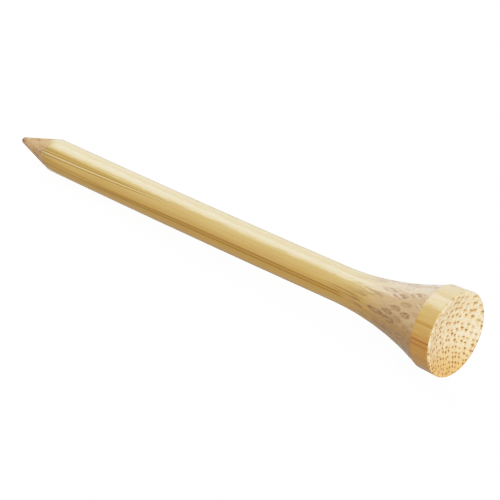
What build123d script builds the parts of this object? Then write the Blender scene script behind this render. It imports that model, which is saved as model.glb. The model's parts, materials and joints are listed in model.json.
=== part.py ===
from build123d import *
from math import acos, asin, atan2, cos, degrees, hypot, sin
import os

# A golf tee turned from one solid stick of bamboo. It is a single piece: nothing comes apart or moves.
# It lies on its side on a flat surface, resting on its head and on the shoulder where its point begins.
# Millimetres. +X runs from the point towards the head, and +Z is up.
# The origin is on that surface, under the middle of the tee's bounding box.

# Driving dimensions
overall_length = 82.6     # from the nose to the rim
shank_diameter = 5.13
point_length = 7.7        # from the nose to the shoulder, where the shank begins
nose_radius = 0.55        # the point is blunt
flare_radius = 44.8       # the hollow curve that swells from the shank to the band
band_length = 2.9         # the short outer wall below the rim
band_draft = 0.1          # the band's radius at the flare is this much less than at the rim
head_diameter = 11.8      # across the rim
rim_land = 0.45           # the flat ring around the cup
rim_rounding = 0.15       # the rim's outer edge
cup_depth = 1.35          # the shallow dish that the ball sits on

# Worked out from them
shank_radius = shank_diameter / 2
head_radius = head_diameter / 2
cup_radius = head_radius - rim_land
band_start = overall_length - band_length
band_start_radius = head_radius - band_draft


def turned_tee():
    """The tee on the X axis, as it comes off the lathe, with its nose at the origin."""
    # The cone runs from the shoulder and touches the nose's ball.
    ball_to_shoulder = hypot(point_length - nose_radius, shank_radius)
    cone_angle = atan2(shank_radius, point_length - nose_radius) - asin(nose_radius / ball_to_shoulder)
    nose_end = (nose_radius * (1 - sin(cone_angle)), nose_radius * cos(cone_angle))
    nose_middle_angle = (acos(0) - cone_angle) / 2
    nose_middle = (nose_radius * (1 - cos(nose_middle_angle)), nose_radius * sin(nose_middle_angle))

    # The flare is one arc that leaves the shank smoothly.
    flare_turn = acos(1 - (band_start_radius - shank_radius) / flare_radius)
    flare_start = band_start - flare_radius * sin(flare_turn)
    flare_middle = (
        flare_start + flare_radius * sin(flare_turn / 2),
        shank_radius + flare_radius * (1 - cos(flare_turn / 2)),
    )

    # The cup is part of a sphere.
    cup_sphere_radius = (cup_radius**2 + cup_depth**2) / (2 * cup_depth)
    cup_middle_angle = asin(cup_radius / cup_sphere_radius) / 2
    cup_bottom = overall_length - cup_depth
    cup_middle = (
        cup_bottom + cup_sphere_radius * (1 - cos(cup_middle_angle)),
        cup_sphere_radius * sin(cup_middle_angle),
    )

    with BuildPart() as tee:
        with BuildSketch(Plane.XZ):
            with BuildLine():
                nose = ThreePointArc((0, 0), nose_middle, nose_end)
                cone = Line(nose @ 1, (point_length, shank_radius))
                shank = Line(cone @ 1, (flare_start, shank_radius))
                flare = ThreePointArc(shank @ 1, flare_middle, (band_start, band_start_radius))
                band = Line(flare @ 1, (overall_length, head_radius))
                land = Line(band @ 1, (overall_length, cup_radius))
                cup = ThreePointArc(land @ 1, cup_middle, (cup_bottom, 0))
                Line(cup @ 1, nose @ 0)
            make_face()
        revolve(axis=Axis.X)
        rim_edges = tee.edges().filter_by(GeomType.CIRCLE).group_by(Axis.X)[-1]
        fillet(rim_edges.sort_by(SortBy.RADIUS)[-1], rim_rounding)
    return tee.part


def laid_down(tee):
    """Tip the tee until head and shoulder touch the surface, and centre it over the origin."""
    # The head touches with one end of its band, whichever sticks out more.
    band_end = overall_length - rim_rounding
    band_end_radius = head_radius - band_draft * rim_rounding / band_length
    start_rise = atan2(band_start_radius - shank_radius, band_start - point_length)
    end_rise = atan2(band_end_radius - shank_radius, band_end - point_length)
    tipped = Rot(0, -degrees(max(start_rise, end_rise)), 0) * tee
    box = tipped.bounding_box()
    return Pos(-box.center().X, 0, -box.min.Z) * tipped


os.makedirs("parts", exist_ok=True)
tee = laid_down(turned_tee())
tee.label = "bamboo_tee"
export_step(tee, "parts/bamboo_tee.step")
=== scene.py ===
import json
from math import asin, atan2, cos, hypot, pi, radians, sin

import bmesh
import bpy
from mathutils import Matrix, Vector


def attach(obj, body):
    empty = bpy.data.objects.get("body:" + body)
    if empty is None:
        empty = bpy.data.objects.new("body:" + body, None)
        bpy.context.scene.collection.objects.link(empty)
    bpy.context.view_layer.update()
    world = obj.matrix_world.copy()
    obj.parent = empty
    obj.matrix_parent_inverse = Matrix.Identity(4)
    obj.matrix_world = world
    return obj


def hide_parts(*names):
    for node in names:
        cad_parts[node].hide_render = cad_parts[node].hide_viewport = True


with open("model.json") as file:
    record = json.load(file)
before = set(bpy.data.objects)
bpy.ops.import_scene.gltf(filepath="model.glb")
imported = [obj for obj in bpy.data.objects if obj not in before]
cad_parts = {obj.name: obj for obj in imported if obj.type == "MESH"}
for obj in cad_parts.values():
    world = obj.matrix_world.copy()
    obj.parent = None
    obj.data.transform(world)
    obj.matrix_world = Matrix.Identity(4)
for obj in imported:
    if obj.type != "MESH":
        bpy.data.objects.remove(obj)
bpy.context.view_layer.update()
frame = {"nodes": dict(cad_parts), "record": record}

mm = 0.001

# the tee's own axis and its main sizes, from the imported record
mounts = {mount["name"]: mount for mount in frame["record"]["mounts"]}
teeAxis = Vector(mounts["rim"]["axis"])
cupBottom = Vector(mounts["ball_seat"]["pos_m"])
rimCentre = cupBottom + teeAxis * teeAxis.dot(Vector(mounts["rim"]["pos_m"]) - cupBottom)
cadPoints = [vertex.co for vertex in frame["nodes"]["bamboo_tee"].data.vertices]
teeLength = teeAxis.dot(rimCentre) - min(teeAxis.dot(point) for point in cadPoints)
nosePoint = rimCentre - teeAxis * teeLength
teeToRow = Matrix.Translation(nosePoint) @ Matrix.Rotation(-asin(teeAxis.z), 4, "Y")
rowToTee = teeToRow.inverted()

shankRadius = mounts["shank"]["dims"]["r_mm"] * mm
shankLength = mounts["shank"]["dims"]["length_mm"] * mm
shankMiddle = (rowToTee @ Vector(mounts["shank"]["pos_m"])).x
shoulder = shankMiddle - shankLength / 2
flareStart = shankMiddle + shankLength / 2
cupDepth = (rimCentre - cupBottom).length
print("frame: tee", round(teeLength / mm, 2), "mm long")


# small node helpers, for shader and geometry trees alike
def put(tree, kind, inputs=(), **settings):
    node = tree.nodes.new(kind)
    for name, value in settings.items():
        setattr(node, name, value)
    for place, value in inputs:
        if isinstance(value, bpy.types.NodeSocket):
            tree.links.new(value, node.inputs[place])
        elif value is not None:
            node.inputs[place].default_value = value
    return node


def calc(tree, operation, first, second=None, third=None, clamp=False):
    inputs = [(0, first), (1, second), (2, third)]
    return put(tree, "ShaderNodeMath", inputs, operation=operation, use_clamp=clamp).outputs[0]


def fade(tree, value, low, high, lowResult=0.0, highResult=1.0):
    inputs = [
        ("Value", value), ("From Min", low), ("From Max", high),
        ("To Min", lowResult), ("To Max", highResult),
    ]
    return put(tree, "ShaderNodeMapRange", inputs, interpolation_type="SMOOTHSTEP").outputs["Result"]


def blendColours(tree, factor, first, second):
    node = put(tree, "ShaderNodeMix", (), data_type="RGBA")
    for place, value in ((0, factor), (6, first), (7, second)):
        if isinstance(value, bpy.types.NodeSocket):
            tree.links.new(value, node.inputs[place])
        else:
            node.inputs[place].default_value = value
    return node.outputs[2]


def distanceTo(tree, across, along, atAcross, atAlong):
    first = calc(tree, "SUBTRACT", across, atAcross)
    second = calc(tree, "SUBTRACT", along, atAlong)
    squares = calc(tree, "MULTIPLY_ADD", first, first, calc(tree, "MULTIPLY", second, second))
    return calc(tree, "SQRT", squares)


def split(tree, vector):
    return put(tree, "ShaderNodeSeparateXYZ", [(0, vector)]).outputs


def resize(tree, vector, sizes):
    node = put(tree, "ShaderNodeVectorMath", [(0, vector), (1, sizes)], operation="MULTIPLY")
    return node.outputs[0]


def noise(tree, place, scale, detail):
    inputs = [("Vector", place), ("Scale", scale), ("Detail", detail)]
    return put(tree, "ShaderNodeTexNoise", inputs).outputs[0]


# bamboo: fibre bundles that run the whole length of the stick, in millimetres of the tee's own axes
bundles = {
    "outerTurn": radians(18),     # which way round the stick its hard outer side lies
    "culmMiddle": 14.7,           # the bundles crowd towards this far point, as towards the stem's skin
    "spacing": 0.84,              # between bundles at the tee's axis
    "shift": (0.35, 0.0),
    "randomness": 0.58,
    "leanRate": 0.0004,           # the fibres stray a little from the axis towards the point
    "leanFrom": 50.0,
    "vesselApart": 0.15,          # the rest are in shares of the spacing
    "vesselRadius": 0.13,
    "phloemOut": 0.36,
    "phloemRadius": 0.10,
    "xylemIn": 0.31,
    "xylemRadius": 0.07,
    "soft": 0.03,                 # how far a pore's edge fades, outwards
    "softInside": 0.04,           # and inwards
    "middleDown": 0.02,
    "sizeLeast": 0.85,            # a bundle's size, and how much more it may be
    "sizeMore": 0.3,
}


def bundlePattern(tree, place):
    b = bundles
    apart = split(tree, place)
    left = calc(tree, "MAXIMUM", calc(tree, "SUBTRACT", b["leanFrom"], apart[0]), 0.0)
    lean = calc(tree, "MULTIPLY", calc(tree, "MULTIPLY", left, left), b["leanRate"])
    raised = calc(tree, "ADD", apart[2], lean)
    leant = put(tree, "ShaderNodeCombineXYZ", [(1, apart[1]), (2, raised)]).outputs[0]
    turned = put(tree, "ShaderNodeVectorRotate", [("Vector", leant), ("Angle", b["outerTurn"])],
                 rotation_type="X_AXIS").outputs[0]
    section = split(tree, turned)
    height = calc(tree, "ADD", section[2], b["culmMiddle"])
    reach = distanceTo(tree, section[1], height, 0.0, 0.0)
    growth = b["culmMiddle"] / b["spacing"]
    around = calc(tree, "MULTIPLY_ADD", calc(tree, "ARCTAN2", section[1], height), growth, b["shift"][0])
    outward = calc(tree, "MULTIPLY_ADD", calc(tree, "LOGARITHM", reach, 2.718282), growth, b["shift"][1])
    cellPlace = put(tree, "ShaderNodeCombineXYZ", [(0, around), (1, outward)]).outputs[0]
    cellInputs = [("Vector", cellPlace), ("Scale", 1.0), ("Randomness", b["randomness"])]
    cells = put(tree, "ShaderNodeTexVoronoi", cellInputs, voronoi_dimensions="2D")
    offset = put(tree, "ShaderNodeVectorMath", [(0, cellPlace), (1, cells.outputs["Position"])],
                 operation="SUBTRACT").outputs[0]
    inCell = split(tree, offset)
    chance = split(tree, cells.outputs["Color"])
    size = calc(tree, "MULTIPLY_ADD", chance[0], b["sizeMore"], b["sizeLeast"])
    across = calc(tree, "DIVIDE", inCell[0], size)
    along = calc(tree, "DIVIDE", inCell[1], size)
    vesselFrom = distanceTo(tree, calc(tree, "ABSOLUTE", across), along, b["vesselApart"], 0.0)
    phloemFrom = distanceTo(tree, across, along, 0.0, -b["phloemOut"])
    xylemFrom = distanceTo(tree, across, along, 0.0, b["xylemIn"])
    middleFrom = distanceTo(tree, across, along, 0.0, -b["middleDown"])
    soft, inside = b["soft"], b["softInside"]
    return {
        "vessel": fade(tree, vesselFrom, b["vesselRadius"] + soft, b["vesselRadius"] - inside),
        "phloem": fade(tree, phloemFrom, b["phloemRadius"] + soft, b["phloemRadius"] - inside),
        "xylem": fade(tree, xylemFrom, b["xylemRadius"] + soft, b["xylemRadius"] - soft),
        "fromMiddle": middleFrom,
        "chance": chance[1],
        "outward": calc(tree, "MULTIPLY", section[2], -1.0),
    }


# the tee's shape
teeShape = {
    "segments": 320,
    "noseRadius": 0.55 * mm,
    "bandLength": 2.9 * mm,
    "bandDraft": 0.1 * mm,
    "headRadius": 5.9 * mm,
    "rimLand": 0.45 * mm,
    "rimRounding": 0.15 * mm,
    "noseRings": 8,
    "pointRings": 56,
    "shankRings": 26,
    "flareRings": 112,
    "bandRings": 14,
    "rimRings": 6,
    "landRings": 3,
    "cupRings": 76,
    "mergeWithin": 0.002 * mm,
    "faceDepth": 0.09 * mm,      # the face's finish comes this far over the rounded rim
    "bow": 0.25 * mm,            # the stick has dried very slightly bent
    "bareShort": 0.85 * mm,      # the lacquer was dipped past the shoulder, with a wandering edge
    "bareWobble": [(5, 0.35 * mm, -1.48), (11, 0.12 * mm, 0.6), (23, 0.07 * mm, 2.0)],
}


finishOrder = ["barePoint", "lacqueredShank", "lacqueredBand", "cupFace"]


def lineTo(bm, start, end, rings):
    step = (Vector(end) - start.co) / rings
    for ring in range(rings):
        grown = bmesh.ops.extrude_vert_indiv(bm, verts=[start])["verts"][0]
        grown.co = start.co + step
        start = grown
    return start


def arcTo(bm, start, centre, angle, rings):
    turned = bmesh.ops.spin(
        bm, geom=[start], cent=centre, axis=(0, 1, 0), dvec=(0, 0, 0), angle=angle, steps=rings,
    )
    return next(item for item in turned["geom_last"] if isinstance(item, bmesh.types.BMVert))


def bareEnd(place):
    turn = atan2(-place.y, place.z)
    wobble = sum(size * sin(count * turn + start) for count, size, start in teeShape["bareWobble"])
    return shoulder - teeShape["bareShort"] + wobble


def makeTee():
    s = teeShape
    bandStart = teeLength - s["bandLength"]
    bandStartRadius = s["headRadius"] - s["bandDraft"]
    cupRadius = s["headRadius"] - s["rimLand"]
    noseRadius = s["noseRadius"]

    # the cone runs from the shoulder and touches the nose's ball
    coneRun = shoulder - noseRadius
    coneAngle = atan2(shankRadius, coneRun) - asin(noseRadius / hypot(coneRun, shankRadius))
    flareRise = bandStartRadius - shankRadius
    flareRun = bandStart - flareStart
    flareRadius = (flareRun**2 + flareRise**2) / (2 * flareRise)
    flareTurn = asin(flareRun / flareRadius)
    cupSphere = (cupRadius**2 + cupDepth**2) / (2 * cupDepth)

    bm = bmesh.new()
    nose = bm.verts.new((0, 0, 0))
    end = arcTo(bm, nose, (noseRadius, 0, 0), pi / 2 - coneAngle, s["noseRings"])
    end = lineTo(bm, end, (shoulder, 0, shankRadius), s["pointRings"])
    end = lineTo(bm, end, (flareStart, 0, shankRadius), s["shankRings"])
    end = arcTo(bm, end, (flareStart, 0, shankRadius + flareRadius), -flareTurn, s["flareRings"])
    # the band's wall, then the rounded rim, the flat ring and the cup
    wallTilt = atan2(s["bandDraft"], s["bandLength"])
    rounding = s["rimRounding"]
    roundX = teeLength - rounding
    roundZ = s["headRadius"] - rounding * (1 / cos(wallTilt) + sin(wallTilt) / cos(wallTilt))
    wallEnd = (roundX - rounding * sin(wallTilt), 0, roundZ + rounding * cos(wallTilt))
    end = lineTo(bm, end, wallEnd, s["bandRings"])
    end = arcTo(bm, end, (roundX, 0, roundZ), pi / 2 + wallTilt, s["rimRings"])
    end = lineTo(bm, end, (teeLength, 0, cupRadius), s["landRings"])
    cupCentre = (teeLength - cupDepth + cupSphere, 0, 0)
    end = arcTo(bm, end, cupCentre, -asin(cupRadius / cupSphere), s["cupRings"])
    end.co.z = 0
    print("profile:", len(bm.verts), "points, ends at", tuple(round(v / mm, 3) for v in end.co))

    bmesh.ops.spin(
        bm, geom=bm.verts[:] + bm.edges[:], cent=(0, 0, 0), axis=(1, 0, 0), dvec=(0, 0, 0),
        angle=2 * pi, steps=s["segments"], use_merge=True,
    )
    bmesh.ops.remove_doubles(bm, verts=bm.verts[:], dist=s["mergeWithin"])
    bmesh.ops.recalc_face_normals(bm, faces=bm.faces[:])
    for face in bm.faces:
        face.smooth = True
        middle = face.calc_center_median()
        inCup = middle.x > bandStart and middle.yz.length < cupRadius
        if inCup or middle.x > teeLength - s["faceDepth"]:
            face.material_index = finishOrder.index("cupFace")
        elif middle.x < bareEnd(middle):
            face.material_index = finishOrder.index("barePoint")
        elif middle.x > bandStart:
            face.material_index = finishOrder.index("lacqueredBand")
        else:
            face.material_index = finishOrder.index("lacqueredShank")
    mesh = bpy.data.meshes.new("bambooTee")
    bm.to_mesh(mesh)
    bm.free()
    tee = bpy.data.objects.new("bambooTee", mesh)
    bpy.context.scene.collection.objects.link(tee)
    print("tee:", len(mesh.polygons), "faces")
    return tee


tee = makeTee()

# open pores and torn fibres, pressed into the mesh where the bundles come out at the surface
pores = {
    "endDepth": 0.09,       # millimetres, where the surface cuts straight across the fibres
    "sideDepth": 0.006,     # along the shank
    "pointRoughness": 0.16,
    "rimRoughness": 0.05,
    "gritScale": 1.6,
    "pointFrom": 0.1,       # the torn surface starts here, from the shoulder towards the head
    "pointTo": -0.9,
    "rimFrom": -0.5,        # and the ragged rim here, from the rim
    "rimTo": -0.1,
    "facingFrom": 0.02,     # how squarely the surface cuts the fibres, from side to end
    "facingTo": 0.6,
    "xylemDepth": 0.7,      # beside the vessels' depth
    "phloemDepth": 0.45,
}


def pressPores(tee):
    tree = bpy.data.node_groups.new("pressPores", "GeometryNodeTree")
    tree.interface.new_socket("Geometry", in_out="INPUT", socket_type="NodeSocketGeometry")
    tree.interface.new_socket("Geometry", in_out="OUTPUT", socket_type="NodeSocketGeometry")
    start = tree.nodes.new("NodeGroupInput")
    finish = tree.nodes.new("NodeGroupOutput")
    position = tree.nodes.new("GeometryNodeInputPosition").outputs[0]
    normal = tree.nodes.new("GeometryNodeInputNormal").outputs[0]
    enlarged = put(tree, "ShaderNodeVectorMath", [(0, position), ("Scale", 1 / mm)], operation="SCALE")
    inMillimetres = enlarged.outputs[0]
    pattern = bundlePattern(tree, inMillimetres)
    facing = calc(tree, "ABSOLUTE", split(tree, normal)[0])
    cut = fade(tree, facing, pores["facingFrom"], pores["facingTo"])
    depth = calc(tree, "MULTIPLY_ADD", cut, pores["endDepth"] - pores["sideDepth"], pores["sideDepth"])
    xylem = calc(tree, "MULTIPLY", pattern["xylem"], pores["xylemDepth"])
    phloem = calc(tree, "MULTIPLY", pattern["phloem"], pores["phloemDepth"])
    openings = calc(tree, "MAXIMUM", calc(tree, "MAXIMUM", pattern["vessel"], xylem), phloem)
    sunk = calc(tree, "MULTIPLY", openings, depth)

    along = split(tree, inMillimetres)[0]
    grit = noise(tree, inMillimetres, pores["gritScale"], 4.0)
    pointFrom, pointTo = shoulder / mm + pores["pointFrom"], shoulder / mm + pores["pointTo"]
    rimFrom, rimTo = teeLength / mm + pores["rimFrom"], teeLength / mm + pores["rimTo"]
    atPoint = fade(tree, along, pointFrom, pointTo, 0.0, pores["pointRoughness"])
    atRim = fade(tree, along, rimFrom, rimTo, 0.0, pores["rimRoughness"])
    rough = calc(tree, "MULTIPLY", calc(tree, "ABSOLUTE", calc(tree, "SUBTRACT", grit, 0.5)),
                 calc(tree, "ADD", atPoint, atRim))
    inward = calc(tree, "MULTIPLY", calc(tree, "ADD", sunk, rough), -mm)
    move = put(tree, "ShaderNodeVectorMath", [(0, normal), ("Scale", inward)], operation="SCALE").outputs[0]
    moved = put(tree, "GeometryNodeSetPosition", [("Geometry", start.outputs[0]), ("Offset", move)])
    tree.links.new(moved.outputs[0], finish.inputs[0])
    modifier = tee.modifiers.new("pores", "NODES")
    modifier.node_group = tree
    bpy.context.view_layer.update()
    shaped = bpy.data.meshes.new_from_object(tee.evaluated_get(bpy.context.evaluated_depsgraph_get()))
    tee.modifiers.clear()
    tee.data = shaped
    print("pores: pressed")


def bend(tee):
    bm = bmesh.new()
    bm.from_mesh(tee.data)
    for vertex in bm.verts:
        share = (vertex.co.x - shoulder) / (teeLength - teeShape["bandLength"] - shoulder)
        share = min(share, 1)
        vertex.co.z -= teeShape["bow"] * 4 * share * (1 - share)
    bm.to_mesh(tee.data)
    bm.free()


def layDown(tee):
    bm = bmesh.new()
    bm.from_mesh(tee.data)
    bmesh.ops.transform(bm, matrix=teeToRow, verts=bm.verts[:])
    print("laid: lowest point", round(min(vertex.co.z for vertex in bm.verts) / mm, 4), "mm")
    bm.to_mesh(tee.data)
    bm.free()


bend(tee)
pressPores(tee)
layDown(tee)

# finishes
# a bundle shows as a ring, from ringEdge down to coreEdge in shares of the spacing, a core and dark pores;
# seldom says from which to which chance it comes up, and how much of it shows at the least
# tan comes in from tanFrom to tanTo, in millimetres towards the outer side underneath: partly the wood's own
# tone, partly painted shade
finishes = {
    "barePoint": {
        "pale": (0.76, 0.49, 0.25, 1), "tan": (0.55, 0.31, 0.13, 1), "tanFrom": -2.5, "tanTo": 2.2,
        "ring": (0.40, 0.20, 0.08, 1), "core": (0.66, 0.40, 0.17, 1), "dark": (0.16, 0.08, 0.03, 1),
        "ringEdge": 0.46, "coreEdge": 0.34, "ringShow": 0.6,
        "coreShow": (0.3, 0.5), "poreShow": 0.7, "marks": 0.6,
        "seldom": (0.1, 0.7, 0.3), "innerShow": 0.8, "tipShade": 0.74,
        "roughness": 0.75, "gloss": 0.3, "coat": 0.1, "coatRoughness": 0.5, "grit": 0.9, "waves": 0.0,
    },
    "lacqueredShank": {
        "pale": (0.80, 0.56, 0.19, 1), "tan": (0.65, 0.35, 0.05, 1), "tanFrom": -2.2, "tanTo": 1.4,
        "ring": (0.27, 0.11, 0.02, 1), "core": (0.76, 0.50, 0.22, 1), "dark": (0.28, 0.12, 0.025, 1),
        "ringEdge": 0.43, "coreEdge": 0.27, "ringShow": 0.9,
        "coreShow": (0.5, 0.4), "poreShow": 0.6, "marks": 0.02,
        "seldom": (0.25, 0.65, 0.2), "innerShow": 0.35,
        "roughness": 0.5, "gloss": 0.25, "coat": 1.0, "coatRoughness": 0.21, "grit": 0.12, "waves": 0.6,
    },
    "lacqueredBand": {
        "pale": (0.81, 0.54, 0.17, 1), "tan": (0.60, 0.26, 0.02, 1), "tanFrom": -5.2, "tanTo": 2.4,
        "ring": (0.70, 0.40, 0.09, 1), "core": (0.58, 0.29, 0.04, 1), "dark": (0.46, 0.20, 0.02, 1),
        "ringEdge": 0.48, "coreEdge": 0.34, "ringShow": 0.4,
        "coreShow": (0.3, 0.6), "poreShow": 0.5, "marks": 0.4,
        "seldom": (0.1, 0.7, 0.3), "innerShow": 0.8,
        "roughness": 0.5, "gloss": 0.25, "coat": 1.0, "coatRoughness": 0.21, "grit": 0.12, "waves": 0.6,
    },
    "cupFace": {
        "pale": (0.96, 0.74, 0.48, 1), "tan": (0.82, 0.43, 0.135, 1), "tanFrom": 0.4, "tanTo": 5.4,
        "ring": (0.84, 0.45, 0.13, 1), "core": (0.38, 0.18, 0.04, 1), "dark": (0.12, 0.055, 0.012, 1),
        "ringEdge": 0.46, "coreEdge": 0.25, "ringShow": 0.6,
        "coreShow": (0.5, 0.95), "poreShow": 0.85, "marks": 1.0,
        "seldom": (0.0, 0.6, 0.5), "innerShow": 0.85, "specks": 0.5,
        "roughness": 0.6, "gloss": 0.3, "coat": 0.25, "coatRoughness": 0.4, "grit": 0.35, "waves": 0.0,
    },
}
cutFlare = {
    "pale": (0.76, 0.51, 0.25, 1),   # the flare is cut across the fibres, which leaves it paler and duller
    "tan": (0.50, 0.26, 0.055, 1),
    "colourFrom": 4.5,               # millimetres past the flare's start
    "colourTo": 11.0,
    "marksFrom": 2.5,
    "marksTo": 7.0,
    "marks": 0.95,
}
# dark double lines along the side, in millimetres from the nose and degrees round from the top
streaks = {
    "upperEdge": {
        "on": "lacqueredShank", "turn": [(7, 43), (22, 41), (35, 35)],
        "apart": [(7, 3.5), (22, 2.4), (35, 1)],
        "span": (6.0, 7.0, 20.0, 32.0), "dark": (0.56, 0.33, 0.04, 1), "light": (0.48, 0.27, 0.02, 1),
    },
    "upper": {
        "on": "lacqueredShank", "turn": [(7, 58), (22, 50), (35, 37)], "apart": [(7, 5), (22, 4), (35, 2)],
        "span": (6.0, 7.0, 26.0, 37.0), "dark": (0.48, 0.26, 0.02, 1), "light": (0.88, 0.66, 0.34, 1),
    },
    "lowerWide": {
        "on": "lacqueredShank", "turn": [(7, 92), (18, 93), (27, 90), (66, 86)],
        "apart": [(7, 15), (18, 11), (27, 9), (66, 9)],
        "span": (6.0, 7.5, 62, 70), "dark": (0.60, 0.33, 0.03, 1), "light": (0.55, 0.28, 0.012, 1),
    },
    "lower": {
        "on": "lacqueredShank", "turn": [(7, 95), (18, 92), (27, 87), (45, 80), (66, 80)],
        "apart": [(7, 3.4), (18, 3.4), (27, 4), (45, 4.7), (66, 4.7)],
        "span": (12, 22.0, 64.5, 67.0), "dark": (0.36, 0.165, 0.002, 1), "light": (0.55, 0.27, 0.010, 1),
    },
    "flareDark": {
        "on": "lacqueredShank", "turn": [(61, 62), (70, 68)], "apart": [(61, 3), (70, 5)],
        "span": (60.5, 65.0, 67, 71), "dark": (0.44, 0.22, 0.02, 1), "light": (0.66, 0.40, 0.10, 1),
    },
    "back": {
        "on": "lacqueredShank", "turn": [(9, -96), (30, -88), (60, -84)],
        "apart": [(9, 4), (30, 3.5), (60, 4)],
        "span": (12, 16, 52, 60), "dark": (0.52, 0.27, 0.03, 1), "light": (0.80, 0.56, 0.22, 1),
    },
    "under": {
        "on": "lacqueredShank", "turn": [(9, 150), (60, 156)], "apart": [(9, 5), (60, 7)],
        "span": (20, 26, 60, 68), "dark": (0.46, 0.20, 0.01, 1), "light": (0.60, 0.32, 0.04, 1),
    },
    "bandTop": {
        "on": "lacqueredBand", "turn": [(79, 55), (83, 55)], "apart": [(79, 1.2), (83, 1.2)],
        "span": (78, 79, 84, 85), "dark": (0.52, 0.26, 0.02, 1), "light": (0.58, 0.30, 0.03, 1),
    },
    "bandMiddle": {
        "on": "lacqueredBand", "turn": [(79, 80), (83, 80)], "apart": [(79, 3.2), (83, 3.2)],
        "span": (78, 79, 84, 85), "dark": (0.44, 0.14, 0.004, 1), "light": (0.60, 0.26, 0.015, 1),
    },
    "bandBottom": {
        "on": "lacqueredBand", "turn": [(79, 104), (83, 104)], "apart": [(79, 2.0), (83, 2.0)],
        "span": (78, 79, 84, 85), "dark": (0.50, 0.19, 0.01, 1), "light": (0.60, 0.27, 0.02, 1),
    },
}
streakLines = {"width": 0.40, "softness": 0.25, "coreFrom": 0.55, "coreTo": 0.1}   # in shares of "apart"
# noise shared by all finishes, in noise cells per millimetre along and across the stick
grain = {
    "fibres": (0.12, 4.0, 4.0),
    "patches": (0.05, 0.6, 0.6),
    "waves": (0.35, 1.1, 1.1),
    "grit": 3.5,
    "specks": 2.6,
    "patchShare": 0.6,           # how much patches and fibres sway the colour between pale and tan
    "fibreShare": 1.1,
}
marksLook = {
    "unevenFrom": 0.35, "unevenTo": 0.62, "unevenLeast": 0.4,   # the sheaths are patchy, as the fibres are
    "innerFrom": -5.5, "innerTo": -0.5,     # millimetres outwards, where the marks come up to full strength
    "coreFrom": -4.0, "coreTo": 4.0,
    "edgeSoft": 0.12, "coreSoft": 0.06,     # in shares of the spacing
    "xylem": 0.6, "phloem": 0.7,            # beside the vessels' darkness
    "specksFrom": 0.44, "specksTo": 0.62,
    "tipFrom": 0.1, "tipTo": 1.8,           # millimetres from the nose, where its shade ends
}
lacquerIor = 1.8
relief = {"fibres": 0.12, "pores": -0.4, "strength": 0.3, "distance": 0.1 * mm, "waveDistance": 0.12 * mm}


def curveThrough(tree, value, points):
    low, high = points[0][0], points[-1][0]
    least = min(height for place, height in points)
    most = max(height for place, height in points + [(low, least + 0.001)])
    share = calc(tree, "DIVIDE", calc(tree, "SUBTRACT", value, low), high - low)
    node = put(tree, "ShaderNodeFloatCurve", [("Value", share)])
    curve = node.mapping.curves[0]
    for spare in range(len(points) - 2):
        curve.points.new(0.5, 0.5)
    for point, (place, height) in zip(curve.points, points):
        point.location = ((place - low) / (high - low), (height - least) / (most - least))
    node.mapping.update()
    return calc(tree, "MULTIPLY_ADD", node.outputs[0], most - least, least)


def addStreak(tree, colour, along, turn, streak):
    middle = curveThrough(tree, along, streak["turn"])
    apart = curveThrough(tree, along, streak["apart"])
    aside = calc(tree, "DIVIDE", calc(tree, "ABSOLUTE", calc(tree, "SUBTRACT", turn, middle)), apart)
    fromLine = calc(tree, "ABSOLUTE", calc(tree, "SUBTRACT", aside, 1.0))
    width, soft = streakLines["width"], streakLines["softness"]
    line = fade(tree, fromLine, width + soft, width - soft)
    core = fade(tree, aside, streakLines["coreFrom"], streakLines["coreTo"])
    first, second, third, fourth = streak["span"]
    there = calc(tree, "MULTIPLY", fade(tree, along, first, second), fade(tree, along, fourth, third))
    colour = blendColours(tree, calc(tree, "MULTIPLY", line, there), colour, streak["dark"])
    return blendColours(tree, calc(tree, "MULTIPLY", core, there), colour, streak["light"])


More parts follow.
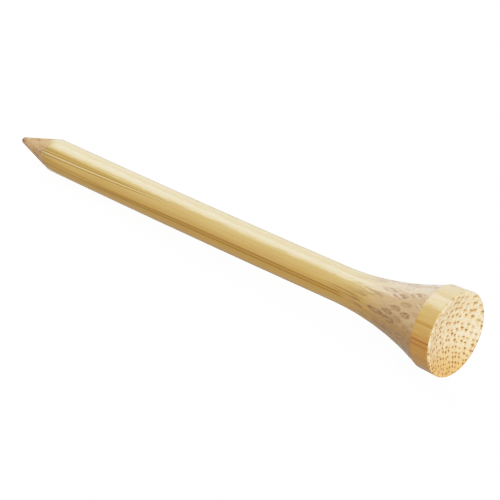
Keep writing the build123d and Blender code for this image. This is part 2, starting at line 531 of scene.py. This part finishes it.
def bambooSurface(name):
    look = finishes[name]
    material = bpy.data.materials.new(name)
    material.use_nodes = True
    tree = material.node_tree
    shader = tree.nodes["Principled BSDF"]
    shader.inputs["Roughness"].default_value = look["roughness"]
    shader.inputs["Specular IOR Level"].default_value = look["gloss"]
    shader.inputs["Coat Weight"].default_value = look["coat"]
    shader.inputs["Coat Roughness"].default_value = look["coatRoughness"]
    shader.inputs["Coat IOR"].default_value = lacquerIor
    place = tree.nodes.new("ShaderNodeTexCoord").outputs["Object"]
    mapped = put(tree, "ShaderNodeMapping", [("Vector", place)])
    mapped.inputs["Location"].default_value = rowToTee.translation / mm
    mapped.inputs["Rotation"].default_value = rowToTee.to_euler()
    mapped.inputs["Scale"].default_value = (1 / mm, 1 / mm, 1 / mm)
    teePlace = mapped.outputs[0]
    axes = split(tree, teePlace)
    pattern = bundlePattern(tree, teePlace)

    # fine fibres and slow patches, both drawn out along the stick
    fibres = noise(tree, resize(tree, teePlace, grain["fibres"]), 1.0, 4.0)
    patches = noise(tree, resize(tree, teePlace, grain["patches"]), 1.0, 2.0)
    grit = noise(tree, teePlace, grain["grit"], 5.0)

    # darker tan underneath, towards the culm's outer side: partly the bamboo's own darker outer wood, partly
    # painted shade on the underside
    tan = fade(tree, pattern["outward"], look["tanFrom"], look["tanTo"])
    patchShare, fibreShare = grain["patchShare"], grain["fibreShare"]
    tan = calc(tree, "ADD", tan, calc(tree, "MULTIPLY_ADD", patches, patchShare, -patchShare / 2))
    tan = calc(tree, "ADD", tan, calc(tree, "MULTIPLY_ADD", fibres, fibreShare, -fibreShare / 2), clamp=True)
    colour = blendColours(tree, tan, look["pale"], look["tan"])
    # the angle round the stick's own slightly bent middle
    stickLength = (teeLength - teeShape["bandLength"] - shoulder) / mm
    share = calc(tree, "DIVIDE", calc(tree, "SUBTRACT", axes[0], shoulder / mm), stickLength, clamp=True)
    lift = calc(tree, "MULTIPLY", calc(tree, "SUBTRACT", 1.0, share), share)
    height = calc(tree, "MULTIPLY_ADD", lift, 4 * teeShape["bow"] / mm, axes[2])
    turn = calc(tree, "ARCTAN2", calc(tree, "MULTIPLY", axes[1], -1.0), height)
    turn = calc(tree, "MULTIPLY", turn, 180 / pi)
    for streak in streaks.values():
        if streak["on"] == name:
            colour = addStreak(tree, colour, axes[0], turn, streak)
    marks = look["marks"]
    if name == "lacqueredShank":
        pastStart = calc(tree, "SUBTRACT", axes[0], flareStart / mm)
        cut = fade(tree, pastStart, cutFlare["colourFrom"], cutFlare["colourTo"])
        colour = blendColours(tree, cut, colour, blendColours(tree, tan, cutFlare["pale"], cutFlare["tan"]))
        marks = fade(tree, pastStart, cutFlare["marksFrom"], cutFlare["marksTo"], marks, cutFlare["marks"])
    if "specks" in look:
        # the cut ends of fine fibres between the bundles
        ends = noise(tree, teePlace, grain["specks"], 2.0)
        speck = fade(tree, ends, marksLook["specksFrom"], marksLook["specksTo"], 0.0, look["specks"])
        colour = blendColours(tree, speck, colour, look["tan"])
    # each bundle's sheath, patchy along its length, then what it encloses
    m = marksLook
    uneven = fade(tree, fibres, m["unevenFrom"], m["unevenTo"], m["unevenLeast"], 1.0)
    rare, common, least = look["seldom"]
    shown = calc(tree, "MULTIPLY", marks, fade(tree, pattern["chance"], rare, common, least, 1.0))
    ringEdge = look["ringEdge"]
    ring = fade(tree, pattern["fromMiddle"], ringEdge, ringEdge - m["edgeSoft"], 0.0, look["ringShow"])
    inner = fade(tree, pattern["outward"], m["innerFrom"], m["innerTo"], look["innerShow"], 1.0)
    shown = calc(tree, "MULTIPLY", shown, inner)
    ring = calc(tree, "MULTIPLY", calc(tree, "MULTIPLY", ring, shown), uneven)
    colour = blendColours(tree, ring, colour, look["ring"])
    low, high = look["coreShow"]
    coreEdge = look["coreEdge"]
    core = fade(tree, pattern["fromMiddle"], coreEdge + m["coreSoft"], coreEdge - m["edgeSoft"])
    core = calc(tree, "MULTIPLY", core, fade(tree, pattern["outward"], m["coreFrom"], m["coreTo"], low, high))
    colour = blendColours(tree, calc(tree, "MULTIPLY", core, shown), colour, look["core"])
    dark = calc(tree, "MAXIMUM", pattern["vessel"], calc(tree, "MULTIPLY", pattern["xylem"], m["xylem"]))
    dark = calc(tree, "MAXIMUM", dark, calc(tree, "MULTIPLY", pattern["phloem"], m["phloem"]))
    dark = calc(tree, "MULTIPLY", calc(tree, "MULTIPLY", dark, shown), look["poreShow"])
    colour = blendColours(tree, dark, colour, look["dark"])
    shade = calc(tree, "MULTIPLY_ADD", grit, look["grit"], 1 - look["grit"] / 2)
    if "tipShade" in look:
        tip = fade(tree, axes[0], m["tipFrom"], m["tipTo"], look["tipShade"], 1.0)
        shade = calc(tree, "MULTIPLY", shade, tip)
    shaded = put(tree, "ShaderNodeVectorMath", [(0, colour), ("Scale", shade)], operation="SCALE").outputs[0]
    tree.links.new(shaded, shader.inputs["Base Color"])

    height = calc(tree, "MULTIPLY", dark, relief["pores"])
    height = calc(tree, "MULTIPLY_ADD", fibres, relief["fibres"], height)
    height = calc(tree, "MULTIPLY_ADD", grit, look["grit"], height)
    bumpInputs = [("Height", height), ("Strength", relief["strength"]), ("Distance", relief["distance"])]
    tree.links.new(put(tree, "ShaderNodeBump", bumpInputs).outputs[0], shader.inputs["Normal"])
    if look["waves"]:
        # the lacquer lies a little unevenly
        waves = noise(tree, resize(tree, teePlace, grain["waves"]), 1.0, 2.5)
        waveInputs = [("Height", waves), ("Strength", look["waves"]), ("Distance", relief["waveDistance"])]
        tree.links.new(put(tree, "ShaderNodeBump", waveInputs).outputs[0], shader.inputs["Coat Normal"])
    return material


for slot, finish in enumerate(finishOrder):
    tee.data.materials.append(bambooSurface(finish))
    print(finish + ":", sum(face.material_index == slot for face in tee.data.polygons), "faces")
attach(tee, "root")
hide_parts("bamboo_tee")
print("finishes: done")

# floor, light and camera
studio = {
    "floorSize": 8.0,
    "floorColour": (0.6, 0.6, 0.6, 1),
    "floorGlow": 1.75,           # a lit white table, so that hardly any shadow shows
    "backdropRadius": 2.5,
    "backdropGlow": 2.4,
    "worldStrength": 0.38,
    "lights": [
        # name, direction towards it, distance, width, height, radiance
        ("frontPanel", (0.5, -0.65, 0.57), 0.8, 0.7, 0.7, 2.2),
        ("rightPanel", (0.96, 0.05, 0.22), 0.6, 0.5, 0.22, 7.0),
        ("backPanel", (-0.608, 0.64, 0.47), 0.7, 0.55, 0.66, 1.6),
        # two shine up through the table
        ("lowBackPanel", (-0.64, 0.62, -0.45), 0.7, 0.66, 0.5, 1.2),
        ("lowFrontPanel", (0.45, -0.7, -0.55), 0.8, 0.7, 0.5, 1.3),
    ],
    "softbox": {"middle": (-0.515, 0.10, 0.50), "size": (0.66, 0.36), "radiance": 2.9},
    # how bright things come out: light in, brightness out
    "exposureCurve": [
        (0, 0), (0.25, 0.25), (0.5, 0.48), (0.75, 0.67), (1.0, 0.80),
        (1.3, 0.89), (1.6, 0.94), (2.0, 0.98), (2.4, 1),
    ],
}
view = {
    "azimuth": radians(42.79),
    "elevation": radians(32.97),
    "lens": 142.85,
    "rimRight": 26.185 * mm,     # where the rim's middle is, seen from the camera
    "rimDown": 10.75 * mm,
    "rimAhead": 251.34 * mm,
}


def plainGlow(name, colour, glow):
    paint = bpy.data.materials.new(name)
    paint.use_nodes = True
    shader = paint.node_tree.nodes["Principled BSDF"]
    shader.inputs["Base Color"].default_value = colour
    shader.inputs["Roughness"].default_value = 0.9
    shader.inputs["Specular IOR Level"].default_value = 0.0
    shader.inputs["Emission Color"].default_value = (1, 1, 1, 1)
    shader.inputs["Emission Strength"].default_value = glow
    paint.cycles.emission_sampling = "NONE"
    return paint


def makeSet():
    bm = bmesh.new()
    bmesh.ops.create_grid(bm, x_segments=1, y_segments=1, size=studio["floorSize"] / 2)
    floorMesh = bpy.data.meshes.new("floor")
    bm.to_mesh(floorMesh)
    bm.free()
    floor = bpy.data.objects.new("floor", floorMesh)
    floorMesh.materials.append(plainGlow("litTable", studio["floorColour"], studio["floorGlow"]))
    floor.visible_diffuse = floor.visible_glossy = floor.visible_shadow = False

    bm = bmesh.new()
    bmesh.ops.create_uvsphere(bm, u_segments=48, v_segments=24, radius=studio["backdropRadius"])
    bmesh.ops.reverse_faces(bm, faces=bm.faces[:])
    backdropMesh = bpy.data.meshes.new("backdrop")
    bm.to_mesh(backdropMesh)
    bm.free()
    backdrop = bpy.data.objects.new("backdrop", backdropMesh)
    backdropMesh.materials.append(plainGlow("whiteCove", (0, 0, 0, 1), studio["backdropGlow"]))
    backdrop.visible_diffuse = backdrop.visible_glossy = backdrop.visible_shadow = False
    for thing in (floor, backdrop):
        bpy.context.scene.collection.objects.link(thing)


def addPanel(name, location, facing, width, height, radiance):
    lamp = bpy.data.lights.new(name, "AREA")
    lamp.shape = "RECTANGLE"
    lamp.size, lamp.size_y = width, height
    lamp.energy = radiance * pi * width * height
    stand = bpy.data.objects.new(name, lamp)
    stand.location = location
    stand.rotation_euler = Vector(facing).to_track_quat("Z", "Y").to_euler()
    bpy.context.scene.collection.objects.link(stand)


def makeLights():
    world = bpy.data.worlds.new("studioWorld")
    world.use_nodes = True
    world.node_tree.nodes["Background"].inputs["Color"].default_value = (1, 1, 1, 1)
    world.node_tree.nodes["Background"].inputs["Strength"].default_value = studio["worldStrength"]
    bpy.context.scene.world = world
    for name, direction, distance, width, height, radiance in studio["lights"]:
        towards = Vector(direction).normalized()
        addPanel(name, towards * distance, towards, width, height, radiance)
    softbox = studio["softbox"]
    addPanel("topSoftbox", softbox["middle"], (0, 0, 1), *softbox["size"], softbox["radiance"])


def makeCamera():
    lens = bpy.data.cameras.new("camera")
    lens.lens = view["lens"]
    lens.clip_start = 0.01
    camera = bpy.data.objects.new("camera", lens)
    a, e = view["azimuth"], view["elevation"]
    right = Vector((cos(a), sin(a), 0))
    back = Vector((sin(a) * cos(e), -cos(a) * cos(e), sin(e)))
    up = back.cross(right)
    camera.location = rimCentre - right * view["rimRight"] + up * view["rimDown"] + back * view["rimAhead"]
    camera.rotation_euler = Matrix((right, up, back)).transposed().to_euler()
    bpy.context.scene.collection.objects.link(camera)
    bpy.context.scene.camera = camera


def setExposure():
    settings = bpy.context.scene.view_settings
    settings.view_transform = "Standard"
    settings.use_curve_mapping = True
    mapping = settings.curve_mapping
    brightest = studio["exposureCurve"][-1][0]
    mapping.white_level = (brightest, brightest, brightest)
    curve = mapping.curves[3]
    for spare in range(len(studio["exposureCurve"]) - 2):
        curve.points.new(0.5, 0.5)
    for point, (light, brightness) in zip(curve.points, studio["exposureCurve"]):
        point.location = (light / brightest, brightness)
    mapping.update()


makeSet()
makeLights()
makeCamera()
setExposure()
print("studio: done")
